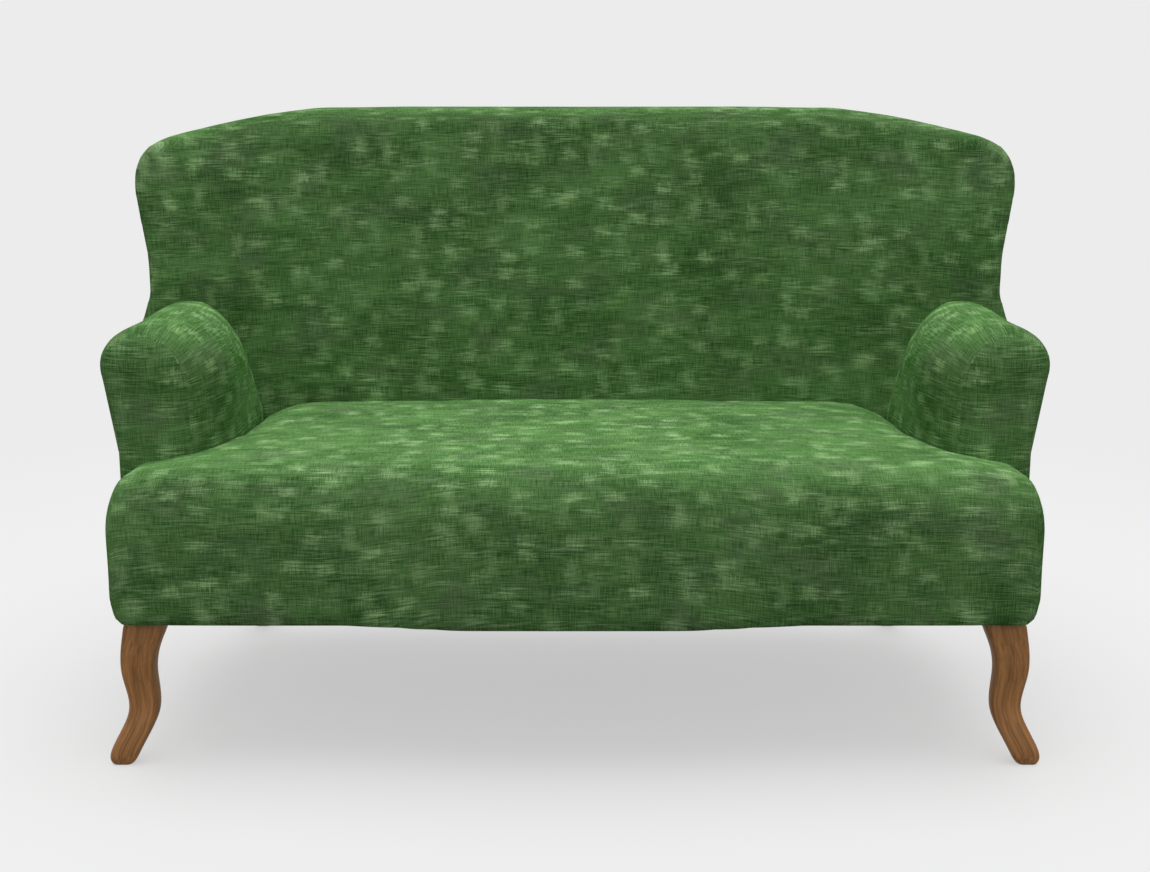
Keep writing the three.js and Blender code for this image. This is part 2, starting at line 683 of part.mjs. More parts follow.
// Back frame: end posts, an arched top rail, a tack rail above the seat and two uprights
function addBackFrame() {
  const inner = POST_OUTER - POST_WIDTH - CUT_GAP;
  const tackTop = TACK_RAIL_BOTTOM + TACK_RAIL_HEIGHT;
  const x = UPRIGHT_SPACING / 2;
  addPair('back_post', postForm(0), finish.beech);
  add('top_rail', backPiece(-POST_OUTER, POST_OUTER, FRAME_FRONT, FRAME_REAR, TOP_RAIL_BOTTOM, TOP_RAIL_TOP),
    finish.beech);
  add('back_tack_rail', backPiece(-inner, inner, FRAME_FRONT, FRAME_REAR, TACK_RAIL_BOTTOM, tackTop),
    finish.beech);
  addPair('back_upright', backPiece(x - UPRIGHT_WIDTH / 2, x + UPRIGHT_WIDTH / 2, FRAME_FRONT, FRAME_REAR,
    tackTop + SEAT_GAP, TOP_RAIL_BOTTOM - SEAT_GAP), finish.beech);
}

// Arm frame: a shaped front post on the side rail, a top rail and a tack rail to the back post
function armPostForm(grow) {
  const w0 = ARM_PAD - grow;
  const w1 = ARM_WIDTH / 2 + grow;
  const top = ARM_HEIGHT - ARM_RAIL_TOP_PAD - ARM_RAIL_THICKNESS + grow;
  return armPiece(w0, w1, ARM_POST_FRONT - grow, ARM_POST_FRONT + BOARD + grow,
    RAIL_TOP + SEAT_GAP - grow, top);
}

function armRailForm(grow) {
  const middle = ARM_ROLL_OUTER;
  const top = ARM_HEIGHT - ARM_RAIL_TOP_PAD + grow;
  const bottom = ARM_HEIGHT - ARM_RAIL_TOP_PAD - ARM_RAIL_THICKNESS + SEAT_GAP - grow;
  const rail = armPiece(middle - ARM_RAIL_WIDTH / 2 - grow, middle + ARM_RAIL_WIDTH / 2 + grow,
    ARM_POST_FRONT - grow, ARM_REAR, bottom, top);
  return without(rail, [postForm(CUT_GAP), behindFrame()]);
}

function armTackForm(grow) {
  const w0 = ARM_WIDTH / 2 - ARM_TACK_WIDTH - grow;
  const front = ARM_POST_FRONT + BOARD + SEAT_GAP - grow;
  const rail = armPiece(w0, w0 + ARM_TACK_WIDTH + 2 * grow, front, ARM_REAR,
    ARM_TACK_BOTTOM - grow, ARM_TACK_BOTTOM + ARM_TACK_HEIGHT + grow);
  return without(rail, [postForm(CUT_GAP), behindFrame()]);
}

// Everything behind the front face of the back frame
function behindFrame() {
  return backPiece(-backHalf, backHalf, FRAME_FRONT - CUT_GAP, FRAME_REAR + OVERRUN, 0, BACK_HEIGHT);
}

function addArmFrame() {
  addPair('arm_post', armPostForm(0), finish.beech);
  addPair('arm_rail', armRailForm(0), finish.beech);
  addPair('arm_tack_rail', armTackForm(0), finish.beech);
}

// Seat suspension: zigzag springs arched from the front rail to the back rail
const springFront = FRONT_PADDING + BOARD / 2;
const springRear = SEAT_DEPTH + FRAME_FRONT + BOARD / 2;
const springBase = RAIL_TOP + SEAT_GAP + CLIP_THICKNESS + SEAT_GAP + SPRING_WIRE / 2;
const archStations = [0, 0.15, 0.35, 0.5, 0.65, 0.85, 1];
const archShares = archStations.map((s) => 4 * s * (1 - s));

function archAt(y) {
  return SPRING_ARCH * between(archStations, archShares, (y - springFront) / (springRear - springFront));
}

function spring(x, front) {
  const points = [];
  const count = SPRING_TURNS * 2;
  for (let i = 0; i <= count; i += 1) {
    const y = front + (i / count) * (springRear - front);
    const swing = i === 0 || i === count ? 0 : (i % 2 === 0 ? 1 : -1) * (SPRING_LOOP / 2);
    points.push(new THREE.Vector3(x + swing, y, springBase + archAt(y)));
  }
  const path = new THREE.CatmullRomCurve3(points, false, 'catmullrom', 0.9);
  const section = new THREE.Shape();
  section.absarc(0, 0, SPRING_WIRE / 2, 0, 2 * Math.PI);
  const steps = SPRING_TURNS * SPRING_STEPS_PER_TURN;
  const wire = new THREE.ExtrudeGeometry(new THREE.Shape(section.getSpacedPoints(SPRING_SIDES).slice(0, -1)),
    { steps, extrudePath: path, bevelEnabled: false });
  wire.deleteAttribute('normal');
  wire.deleteAttribute('uv');
  return outward(mergeVertices(wire));
}

function addSprings() {
  for (let i = 0; i < SPRING_COUNT; i += 1) {
    const x = (i - (SPRING_COUNT - 1) / 2) * SPRING_SPACING;
    add(`seat_spring_${i + 1}`, spring(x, springFront - bowAt(x)), finish.steel);
  }
  const half = ((SPRING_COUNT - 1) * SPRING_SPACING + SPRING_LOOP + CLIP_WIDTH) / 2;
  const low = RAIL_TOP + SEAT_GAP;
  const bow = (x, y, z) => new THREE.Vector3(x, y - bowAt(x), z);
  const front = [springFront - CLIP_WIDTH / 2, springFront + CLIP_WIDTH / 2];
  const strip = stretch(seatStations, -half, half);
  add('front_clip_strip', lattice(strip, front, [low, low + CLIP_THICKNESS], bow), finish.steel);
  const middle = FRAME_FRONT + BOARD / 2;
  add('back_clip_strip', backPiece(-half, half, middle - CLIP_WIDTH / 2, middle + CLIP_WIDTH / 2,
    low, low + CLIP_THICKNESS), finish.steel);
  const y = (springFront + springRear) / 2;
  const z = springBase + archAt(y) - SPRING_WIRE / 2 - SEAT_GAP - TIE_WIRE;
  add('spring_tie_wire', box(-half, half, y - TIE_WIRE / 2, y + TIE_WIRE / 2, z, z + TIE_WIRE), finish.steel);
}

// The surface over the springs, and everything under it
const hessianBase = springBase + SPRING_WIRE / 2 + SEAT_GAP;
const supportStations = archStations.map((s) => springFront + s * (springRear - springFront));

function overSprings(x0, x1, y0, y1, rise0, rise1) {
  const bend = (x, y, z) => new THREE.Vector3(x, y - bowAt(x) * (1 - smooth(y / SEAT_DEPTH)), z + archAt(y));
  const xs = stretch(seatStations, x0, x1);
  return lattice(xs, stretch(supportStations, y0, y1), [hessianBase + rise0, hessianBase + rise1], bend);
}

function addSeatPadding(armCut, backCut) {
  const half = HESSIAN_SPREAD / 2;
  const rear = SEAT_DEPTH + BACK_CROWN;
  const hessian = overSprings(-half, half, FRONT_PADDING, rear, 0, HESSIAN);
  const side = RAIL_SPREAD / 2 + CUT_GAP;
  const under = overSprings(-side, side, FRONT_PADDING - CUT_GAP, rear + SEAT_TUCK,
    HESSIAN + SEAT_GAP - RAIL_TOP, HESSIAN + SEAT_GAP);
  add('seat_hessian', without(hessian, [...armCut, ...backCut]), finish.jute);
  const foam = without(seatForm(-COVER - SEAT_GAP), [under, ...armCut, ...backCut]);
  add('seat_foam', foam, finish.foam);
}

function addBackPadding(armNotches) {
  const hessianRear = FRAME_FRONT - SEAT_GAP - WEB_THICKNESS - SEAT_GAP;
  const hessianTop = TOP_RAIL_TOP - TOP_RAIL_HEIGHT / 2;
  const half = BACK_HESSIAN_SPREAD / 2;
  const low = TACK_RAIL_BOTTOM + TACK_RAIL_HEIGHT - WEB_LAP;
  add('back_hessian', backPiece(-half, half, hessianRear - HESSIAN, hessianRear, low, hessianTop),
    finish.jute);
  for (let i = 0; i < WEB_COUNT; i += 1) {
    const x = (i - (WEB_COUNT - 1) / 2) * WEB_SPACING;
    add(`back_web_${i + 1}`, backPiece(x - WEB_WIDTH / 2, x + WEB_WIDTH / 2,
      FRAME_FRONT - SEAT_GAP - WEB_THICKNESS, FRAME_FRONT - SEAT_GAP,
      low, TOP_RAIL_BOTTOM + WEB_LAP), finish.jute);
  }
  const frontOfFoam = hessianRear - HESSIAN - SEAT_GAP;
  const outer = POST_OUTER + CUT_GAP;
  const frameSpace = backPiece(-outer, outer, frontOfFoam, BACK_THICKNESS + OVERRUN,
    0, TOP_RAIL_TOP + CUT_GAP);
  const below = box(-BACK_WIDTH, BACK_WIDTH, 0, SEAT_DEPTH * 2, 0, hessianBase + SPRING_ARCH);
  add('back_foam', without(backForm(-COVER - SEAT_GAP), [frameSpace, below, ...armNotches]), finish.foam);
}

// The space of the seat springs, which the arms' padding and covers stay out of
function springSpace(half) {
  return box(0, half, 0, SEAT_DEPTH * 2, 0, hessianBase + SPRING_ARCH);
}

function addArmPadding(backCut) {
  const space = [
    armPostForm(SEAT_GAP),
    armRailForm(SEAT_GAP),
    armPiece(ARM_PAD / 2, ARM_WIDTH - ARM_INNER_PAD, ARM_POST_FRONT + BOARD + SEAT_GAP, ARM_REAR + OVERRUN,
      0, ARM_HEIGHT - ARM_RAIL_TOP_PAD - ARM_RAIL_THICKNESS + SEAT_GAP),
    box(0, SEAT_WIDTH, 0, SEAT_DEPTH * 2, 0, RAIL_TOP + SEAT_GAP),
    springSpace(RAIL_INNER),
    ...backCut,
  ];
  addPair('arm_foam', without(armForm(-COVER - SEAT_GAP), space), finish.foam);
}

// Covers: each is a thin skin, open where it is turned under and where the panels are set in
function addSeatCover(armCut, backCut) {
  const hem = FRONT_PADDING + BOARD;
  const inner = RAIL_SPREAD / 2 - BOARD;
  const opening = box(-inner, inner, hem, SEAT_DEPTH * 2, 0, RAIL_BOTTOM + COVER);
  const reach = FRONT_LEG_WIDTH / 2 + CUT_GAP;
  const x = FRONT_LEG_SPREAD / 2;
  const legHole = box(x - reach, x + reach, FRONT_LEG_Y - reach, FRONT_LEG_Y + reach,
    0, RAIL_BOTTOM + SEAT_GAP);
  const cutters = [seatForm(-COVER), opening, legHole, mirrorX(legHole), ...armCut, ...backCut];
  add('seat_cover', without(seatForm(0), cutters), finish.fabric);
}

function addBackCovers(armNotches) {
  const low = UPHOLSTERY_BOTTOM - OVERRUN;
  const edge = POST_OUTER - BACK_REAR_RADIUS / 2;
  const panel = (grow) => backPiece(-edge - grow, edge + grow, FRAME_REAR - CUT_GAP, BACK_THICKNESS + OVERRUN,
    low, TOP_RAIL_TOP - BACK_REAR_RADIUS / 2 + grow);
  const shell = without(backForm(0), [backForm(-COVER)]);
  const sides = RAIL_SPREAD / 2 / backWidthShares[0] + BOARD / 4;
  const front = backPiece(-sides, sides, -OVERRUN, FRAME_FRONT, low, hessianBase + SPRING_ARCH);
  const under = backPiece(-sides, sides, -OVERRUN, FRAME_REAR, low, RAIL_BOTTOM + COVER);
  const rearLegHole = box(REAR_LEG_SPREAD / 2 - REAR_LEG_WIDTH, REAR_LEG_SPREAD / 2 + REAR_LEG_WIDTH,
    REAR_LEG_TOP_Y - REAR_LEG_DEPTH, REAR_LEG_TOP_Y + REAR_LEG_DEPTH / 2 + CUT_GAP, 0, RAIL_BOTTOM);
  const legHoles = [rearLegHole, mirrorX(rearLegHole)];
  add('inside_back_cover', without(shell, [panel(CUT_GAP), front, under, ...legHoles, ...armNotches]),
    finish.fabric);
  add('outside_back_cover', without(within(shell, panel(0)), [under, ...legHoles]), finish.fabric);
}

function addArmCovers(backCut) {
  const low = UPHOLSTERY_BOTTOM - OVERRUN;
  const shell = without(armForm(0), [armForm(-COVER), ...backCut]);
  const panelFront = ARM_FRONT + ARM_NOSE_RADIUS;
  const panel = (grow) => armPiece(-OVERRUN, ARM_PAD / 2 + grow, panelFront - grow, ARM_REAR + OVERRUN,
    low, ARM_PANEL_TOP + grow);
  const under = box(0, RAIL_SPREAD / 2, 0, SEAT_DEPTH * 2, 0, RAIL_BOTTOM + COVER);
  addPair('arm_cover', without(shell, [panel(CUT_GAP), under, springSpace(RAIL_SPREAD / 2)]), finish.fabric);
  addPair('outside_arm_cover', without(within(shell, panel(0)), [under]), finish.fabric);
}

function addLegs() {
  addPair('front_leg', without(frontLeg(), [stud(...frontStud, SEAT_GAP)]), finish.leg);
  addPair('rear_leg', without(rearLeg(), [stud(...rearStud, SEAT_GAP)]), finish.leg);
  addPair('front_leg_stud', stud(...frontStud, 0), finish.steel);
  addPair('rear_leg_stud', stud(...rearStud, 0), finish.steel);
}

// Thin lining under the seat, cut round the legs
function addDustCover() {
  const half = RAIL_SPREAD / 2 / backWidthShares[0] - DUST_COVER_INSET;
  const top = UPHOLSTERY_BOTTOM - SEAT_GAP;
  const xs = stretch([...new Set([...seatStations, ...backStations])].sort((a, b) => a - b), -half, half);
  const spread = (x, share, z) => {
    const place = x * backWidthShares[0];
    const front = DUST_COVER_INSET - bowAt(place);
    const rear = backBend(x, BACK_THICKNESS, UPHOLSTERY_BOTTOM).y - DUST_COVER_INSET;
    return new THREE.Vector3(place, front + share * (rear - front), z);
  };
  const sheet = lattice(xs, [0, 1], [top - DUST_COVER, top], spread);
  const hole = (x, y, size) => box(x - size, x + size, y - size, y + size, 0, RAIL_TOP);
  const front = hole(FRONT_LEG_SPREAD / 2, FRONT_LEG_Y, FRONT_LEG_WIDTH / 2 + COVER);
  const rear = hole(REAR_LEG_SPREAD / 2, REAR_LEG_TOP_Y, REAR_LEG_WIDTH / 2 + COVER);
  add('dust_cover', without(sheet, [front, mirrorX(front), rear, mirrorX(rear)]), finish.lining);
}

const armCutter = armForm(CUT_GAP);
const armCut = [armCutter, mirrorX(armCutter)];
const backCut = [
  backForm(CUT_GAP),
  backPiece(-backHalf, backHalf, BACK_THICKNESS / 2, BACK_THICKNESS + ARM_REAR, 0, BACK_HEIGHT),
];
const rightNotches = [armRailForm(CUT_GAP), armTackForm(CUT_GAP)];
const armNotches = [...rightNotches, ...rightNotches.map(mirrorX)];

addSeatFrame();
addBackFrame();
addArmFrame();
addSprings();
addSeatPadding(armCut, backCut);
addBackPadding(armNotches);
addArmPadding(backCut);
addSeatCover(armCut, backCut);
addBackCovers(armNotches);
addArmCovers(backCut);
addLegs();
addDustCover();

const extent = new THREE.Box3().setFromObject(settee, true);
const model = new THREE.Group();
settee.position.y = -(extent.min.y + extent.max.y) / 2;
model.add(settee);

export default model;
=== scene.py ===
# High back settee: green slub velvet over a sprung seat, brown cabriole legs
import json
import math

import bmesh
import bpy
import numpy as np
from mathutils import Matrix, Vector


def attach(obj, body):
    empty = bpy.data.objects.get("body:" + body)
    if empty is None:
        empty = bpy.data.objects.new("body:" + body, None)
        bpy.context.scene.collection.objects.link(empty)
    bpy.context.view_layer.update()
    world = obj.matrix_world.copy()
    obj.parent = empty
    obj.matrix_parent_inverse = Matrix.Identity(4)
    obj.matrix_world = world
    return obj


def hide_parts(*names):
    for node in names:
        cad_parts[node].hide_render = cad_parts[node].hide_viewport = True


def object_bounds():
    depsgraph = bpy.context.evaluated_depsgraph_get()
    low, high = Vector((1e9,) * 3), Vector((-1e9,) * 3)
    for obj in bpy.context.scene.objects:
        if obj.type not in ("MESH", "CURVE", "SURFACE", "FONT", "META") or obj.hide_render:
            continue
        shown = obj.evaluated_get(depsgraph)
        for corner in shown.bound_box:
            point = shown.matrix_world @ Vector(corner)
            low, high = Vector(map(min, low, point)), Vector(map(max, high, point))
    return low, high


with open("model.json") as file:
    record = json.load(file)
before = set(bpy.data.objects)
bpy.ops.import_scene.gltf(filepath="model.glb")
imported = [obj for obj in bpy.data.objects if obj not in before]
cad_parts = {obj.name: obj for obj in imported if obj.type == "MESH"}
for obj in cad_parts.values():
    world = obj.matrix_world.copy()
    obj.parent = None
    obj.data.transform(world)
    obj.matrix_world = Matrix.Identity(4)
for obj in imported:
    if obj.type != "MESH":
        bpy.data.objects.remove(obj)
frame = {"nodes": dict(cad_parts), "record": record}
cadLow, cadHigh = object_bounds()
scene = bpy.context.scene
nodes = frame["nodes"]
print("frame loaded:", len(nodes), "nodes")

bow = 0.027  # how far the seat's front comes forward in the middle
seatFront = cadLow.y + bow  # front of the seat at its two ends

# Camera, at the photograph's place and angle
cameraSettings = {"height": 1.0188, "ahead": 2.3343, "pitch": 11.89, "lens": 50.94}
camera = bpy.data.objects.new("camera", bpy.data.cameras.new("camera"))
camera.data.lens = cameraSettings["lens"]
camera.location = (0, seatFront - cameraSettings["ahead"], cameraSettings["height"])
camera.rotation_euler = (math.radians(90 - cameraSettings["pitch"]), 0, 0)
scene.collection.objects.link(camera)
scene.camera = camera
scene.view_settings.view_transform = "Standard"


# Shader maths: an expression on sockets adds its Math nodes
class Socket:
    def __init__(self, tree, link):
        self.tree = tree
        self.link = link

    def maths(self, operation, *others, flip=False):
        values = [self, *others]
        if flip:
            values.reverse()
        return self.tree.node("Math", {"operation": operation}, *values)

    def __add__(self, other):
        return self.maths("ADD", other)

    def __radd__(self, other):
        return self.maths("ADD", other)

    def __sub__(self, other):
        return self.maths("SUBTRACT", other)

    def __rsub__(self, other):
        return self.maths("SUBTRACT", other, flip=True)

    def __mul__(self, other):
        return self.maths("MULTIPLY", other)

    def __rmul__(self, other):
        return self.maths("MULTIPLY", other)

    def clamped(self):
        return self.maths("MAXIMUM", 0).maths("MINIMUM", 1)

    def ramp(self, low, high):
        return self.tree.node("MapRange", {"interpolation_type": "SMOOTHSTEP"}, Value=self,
                              From_Min=low, From_Max=high, To_Min=0.0, To_Max=1.0)


class Tree:
    def __init__(self, holder):
        holder.use_nodes = True
        self.nodes = holder.node_tree.nodes
        self.links = holder.node_tree.links

    def node(self, kind, settings, *values, output=0, **named):
        made = self.nodes.new("ShaderNode" + kind)
        for key, value in settings.items():
            setattr(made, key, value)
        for index, value in enumerate(values):
            self.feed(made.inputs[index], value)
        for key, value in named.items():
            self.feed(made.inputs[key.replace("_", " ")], value)
        return Socket(self, made.outputs[output]) if made.outputs else made

    def feed(self, socket, value):
        if isinstance(value, Socket):
            self.links.new(value.link, socket)
        else:
            socket.default_value = value

    # 1 where the camera sees the surface itself, in a mirror or through glass
    def direct(self):
        rays = [self.node("LightPath", {}, output="Is " + ray + " Ray")
                for ray in ("Camera", "Glossy", "Transmission")]
        return rays[0].maths("MAXIMUM", rays[1]).maths("MAXIMUM", rays[2])


class Material(Tree):
    def __init__(self, name, **finish):
        self.data = bpy.data.materials.new(name)
        super().__init__(self.data)
        self.shader = self.nodes["Principled BSDF"]
        self.finish(**finish)

    def finish(self, **sockets):
        for key, value in sockets.items():
            self.feed(self.shader.inputs[key.replace("_", " ")], value)
        return self.data

    def place(self):
        return self.node("TexCoord", {}, output="Object")

    def along(self, name):
        return self.node("Attribute", {"attribute_name": name}, output="Vector")

    def scaled(self, vector, x, y, z):
        return self.node("VectorMath", {"operation": "MULTIPLY"}, vector, (x, y, z))

    def noise(self, vector, x, y, z, detail=2.0, rough=0.5):
        return self.node("TexNoise", {}, Vector=self.scaled(vector, x, y, z), Scale=1.0,
                         Detail=detail, Roughness=rough)

    # Squarish patches of differing strength, soft between the two limits
    def patches(self, vector, wide, high, inner, outer):
        spot = self.node("TexVoronoi", {"voronoi_dimensions": "2D", "distance": "CHEBYCHEV"},
                         Vector=self.scaled(vector, 1 / wide, 1 / high, 1), Scale=1.0)
        strength = self.node("SeparateColor", {}, Socket(self, spot.link.node.outputs["Color"]))
        return (1 - spot.ramp(inner, outer)) * strength

    def mixed(self, factor, first, second):
        return self.node("MixRGB", {}, factor, first, second)

    def bumped(self, height, distance, strength):
        return self.node("Bump", {}, Height=height, Distance=distance, Strength=strength)

    # Shows the surface at a plain level, by a share that grows to 1 across the fade
    def seen(self, share, plain, fade):
        direct = self.direct()
        glow = self.node("Emission", {}, plain, 1.0)
        lit = Socket(self, self.shader.outputs[0])
        far = self.node("VectorMath", {"operation": "LENGTH"}, self.place(), output="Value")
        far = far.ramp(*fade)
        mix = self.node("MixShader", {}, direct * (share + far * (1 - share)), lit, glow)
        self.links.new(mix.link, self.nodes["Material Output"].inputs["Surface"])
        return direct


# A linear colour from one given as it shows on a screen, 0 to 255
def colour(red, green, blue):
    linear = [c / 12.92 if c <= 0.04045 else ((c + 0.055) / 1.055) ** 2.4
              for c in (red / 255, green / 255, blue / 255)]
    return (*linear, 1.0)


# Slub velvet: soft light slubs in blocks and short streaks over a close crossed weave.
# Sizes are in metres of cloth, along the weft first. Runs are repeats in a metre.
def slubVelvet():
    values = {
        "deep": (42, 75, 35), "body": (92, 133, 75), "dull": (94, 120, 80),
        "light": (150, 186, 128), "sheen": (90, 220, 60),
        "yarn": 0.0017, "speck": 0.0012, "weftRun": 32, "warpRun": 36,
        "block": (0.06, 0.042), "cluster": (0.09, 0.026), "bar": (0.055, 0.12),
        "blockEdge": (0.12, 0.32), "clusterEdge": (0.1, 0.44), "barEdge": (0.09, 0.22),
        "cloudRuns": (6, 9), "bandRuns": (5, 60), "streakRuns": (22, 300), "hueRuns": (9, 14),
        "frayRun": 12, "frayFine": 420, "frayAcross": 0.05, "frayUp": 0.02,
        "streakEdge": (0.4, 0.62), "hueEdge": (0.45, 0.7),
        "weftShare": 3.2, "warpShare": 2.6, "speckShare": 2.2,
        "cloudShare": 1.4, "bandShare": 0.6, "yarnShare": 0.47, "level": 0.5,
        "plainBlock": 0.32, "streakyBlock": 0.42, "clusterShare": 0.45, "barShare": 0.42,
        "streakShare": 0.1, "slubYarn": 0.4, "slubLevel": 0.75,
        "yarnRelief": 0.4, "slubRelief": 0.3, "relief": (0.0005, 0.4),
        "roughness": 0.94, "slubShine": 0.12}
    middle = 0.5  # of a noise
    m = Material("slubVelvet", Sheen_Weight=0.05, Sheen_Roughness=0.35,
                 Sheen_Tint=colour(*values["sheen"]), Specular_IOR_Level=0.0)
    w = m.along("weave")
    perYarn = 1 / values["yarn"]
    perSpeck = 1 / values["speck"]
    weft = m.noise(w, values["weftRun"], perYarn, 1, detail=1.0)
    warp = m.noise(w, perYarn, values["warpRun"], 1, detail=1.0)
    speck = m.noise(w, perSpeck, perSpeck, 1, detail=0.0)
    yarn = ((weft - middle) * values["weftShare"] + (warp - middle) * values["warpShare"]
            + (speck - middle) * values["speckShare"])
    cloud = m.noise(w, *values["cloudRuns"], 1, detail=3.0, rough=0.55)
    bands = m.noise(w, *values["bandRuns"], 1)
    streaks = m.noise(w, *values["streakRuns"], 1).ramp(*values["streakEdge"])
    run, fine = values["frayRun"], values["frayFine"]
    fray = m.node("CombineXYZ", {}, (m.noise(w, run, fine, 1) - middle) * values["frayAcross"],
                  (m.noise(w, fine, run, 1) - middle) * values["frayUp"], 0.0)
    ragged = m.node("VectorMath", {"operation": "ADD"}, w, fray)
    blocks = m.patches(ragged, *values["block"], *values["blockEdge"])
    clusters = m.patches(ragged, *values["cluster"], *values["clusterEdge"]) * streaks
    bars = m.patches(ragged, *values["bar"], *values["barEdge"])
    slub = (blocks * (streaks * values["streakyBlock"] + values["plainBlock"])
            + clusters * values["clusterShare"] + bars * values["barShare"]
            + streaks * values["streakShare"])
    depth = ((cloud - middle) * values["cloudShare"] + (bands - middle) * values["bandShare"]
             + yarn * values["yarnShare"] + values["level"])
    hue = m.noise(w, *values["hueRuns"], 1).ramp(*values["hueEdge"])
    ground = m.mixed(hue, colour(*values["body"]), colour(*values["dull"]))
    body = m.mixed(depth.clamped(), colour(*values["deep"]), ground)
    share = (slub * (yarn * values["slubYarn"] + values["slubLevel"])).clamped()
    shade = m.mixed(share, body, colour(*values["light"]))
    grain = yarn * values["yarnRelief"] + slub * values["slubRelief"]
    return m.finish(Base_Color=shade, Normal=m.bumped(grain, *values["relief"]),
                    Roughness=values["roughness"] - slub * values["slubShine"])


# Stained wood whose grain runs along the leg
def legWood():
    values = {
        "dark": (108, 68, 34), "mid": (146, 101, 56), "light": (188, 134, 80),
        "pore": (80, 48, 23),
        "grainRun": 420, "figureRun": 90, "run": 5, "poreRun": 1100, "poreLength": 26,
        "grainShare": 0.6, "figureShare": 0.4, "toneEdge": (0.34, 0.66), "poreEdge": (0.6, 0.72),
        "worn": 0.3, "poreShade": 0.4, "poreDepth": 0.6, "relief": (0.0003, 0.4),
        "roughness": 0.46, "grainRoughness": 0.16}
    m = Material("legWood", Coat_Weight=0.05, Coat_Roughness=0.4, Specular_IOR_Level=0.25)
    g = m.along("grain")
    grain = m.noise(g, values["grainRun"], values["grainRun"], values["run"], detail=3.0,
                    rough=0.65)
    figure = m.noise(g, values["figureRun"], values["figureRun"], values["run"])
    pores = m.noise(g, values["poreRun"], values["poreRun"], values["poreLength"], detail=1.0)
    pores = pores.ramp(*values["poreEdge"])
    tone = grain * values["grainShare"] + figure * values["figureShare"]
    tone = m.mixed(tone.ramp(*values["toneEdge"]), colour(*values["dark"]),
                   colour(*values["light"]))
    worn = m.mixed(values["worn"], tone, colour(*values["mid"]))
    shade = m.mixed(pores * values["poreShade"], worn, colour(*values["pore"]))
    return m.finish(Base_Color=shade,
                    Roughness=values["roughness"] + grain * values["grainRoughness"],
                    Normal=m.bumped(grain - pores * values["poreDepth"], *values["relief"]))


# Sawn hardwood, inside
def frameWood():
    values = {"dark": (176, 138, 92), "light": (214, 178, 128), "runs": (16, 180, 180),
              "edge": (0.3, 0.7), "roughness": 0.66, "spread": 0.15, "relief": (0.0004, 0.5)}
    m = Material("frameWood")
    grain = m.noise(m.place(), *values["runs"], detail=3.0, rough=0.6)
    tone = m.mixed(grain.ramp(*values["edge"]), colour(*values["dark"]), colour(*values["light"]))
    return m.finish(Base_Color=tone, Roughness=values["roughness"] + grain * values["spread"],
                    Normal=m.bumped(grain, *values["relief"]))


def springSteel():
    values = {"dark": (120, 122, 124), "light": (168, 170, 172), "runs": (300, 300, 300),
              "roughness": 0.32, "spread": 0.2}
    m = Material("springSteel", Metallic=1.0)
    scratch = m.noise(m.place(), *values["runs"])
    tone = m.mixed(scratch, colour(*values["dark"]), colour(*values["light"]))
    return m.finish(Base_Color=tone, Roughness=values["roughness"] + scratch * values["spread"])


# Coarse crossed yarns
def jute():
    values = {"dark": (120, 96, 58), "light": (190, 164, 118), "fine": 500, "run": 20,
              "roughness": 0.9, "spread": 0.08, "relief": (0.0008, 0.6)}
    m = Material("jute")
    p = m.place()
    across = m.noise(p, values["fine"], values["run"], values["run"], detail=1.0)
    along = m.noise(p, values["run"], values["fine"], values["fine"], detail=1.0)
    tone = m.mixed(across * 0.5 + along * 0.5, colour(*values["dark"]), colour(*values["light"]))
    return m.finish(Base_Color=tone, Roughness=values["roughness"] + across * values["spread"],
                    Normal=m.bumped(across + along, *values["relief"]))


# One soft speckle of two close colours: foam, and the cloth of the lining
def speckled(name, dark, light, run, detail, rough, roughness, spread, relief):
    m = Material(name)
    speck = m.noise(m.place(), run, run, run, detail, rough)
    return m.finish(Base_Color=m.mixed(speck, colour(*dark), colour(*light)),
                    Roughness=roughness + speck * spread, Normal=m.bumped(speck, *relief))


def foam():
    return speckled("foam", dark=(214, 204, 172), light=(240, 232, 208), run=420, detail=2.0,
                    rough=0.5, roughness=0.88, spread=0.1, relief=(0.0008, 0.5))


def liningCloth():
    return speckled("liningCloth", dark=(16, 16, 17), light=(40, 40, 42), run=260, detail=3.0,
                    rough=0.65, roughness=0.86, spread=0.1, relief=(0.0005, 0.4))


velvet = slubVelvet()
brownWood = legWood()
lining = liningCloth()
slotMaterials = {
    "frame_wood": frameWood(), "spring_steel": springSteel(), "hessian": jute(), "foam": foam(),
    "leg_wood": brownWood, "upholstery_fabric": velvet, "dust_cloth": lining}
for part in frame["record"]["subparts"]:
    mesh = nodes[part["node"]].data
    mesh.materials.clear()
    mesh.materials.append(slotMaterials[part["material_slot"]])
print("materials made")


def copyOf(name, *sources):
    bm = bmesh.new()
    for source in sources:
        bm.from_mesh(nodes[source].data)
    bmesh.ops.remove_doubles(bm, verts=bm.verts, dist=1e-5)
    return shown(name, bm)


def shown(name, bm):
    mesh = bpy.data.meshes.new(name)
    bm.to_mesh(mesh)
    bm.free()
    piece = bpy.data.objects.new(name, mesh)
    scene.collection.objects.link(piece)
    return piece


def applied(piece):
    graph = bpy.context.evaluated_depsgraph_get()
    mesh = bpy.data.meshes.new_from_object(piece.evaluated_get(graph))
    piece.modifiers.clear()
    old = piece.data
    piece.data = mesh
    bpy.data.meshes.remove(old)


def vectors(items, name):
    flat = np.empty(len(items) * 3, dtype=np.float32)
    items.foreach_get(name, flat)
    return flat.reshape(-1, 3)


def places(mesh):
    return vectors(mesh.vertices, "co")


def normals(mesh):
    return vectors(mesh.vertex_normals, "vector")


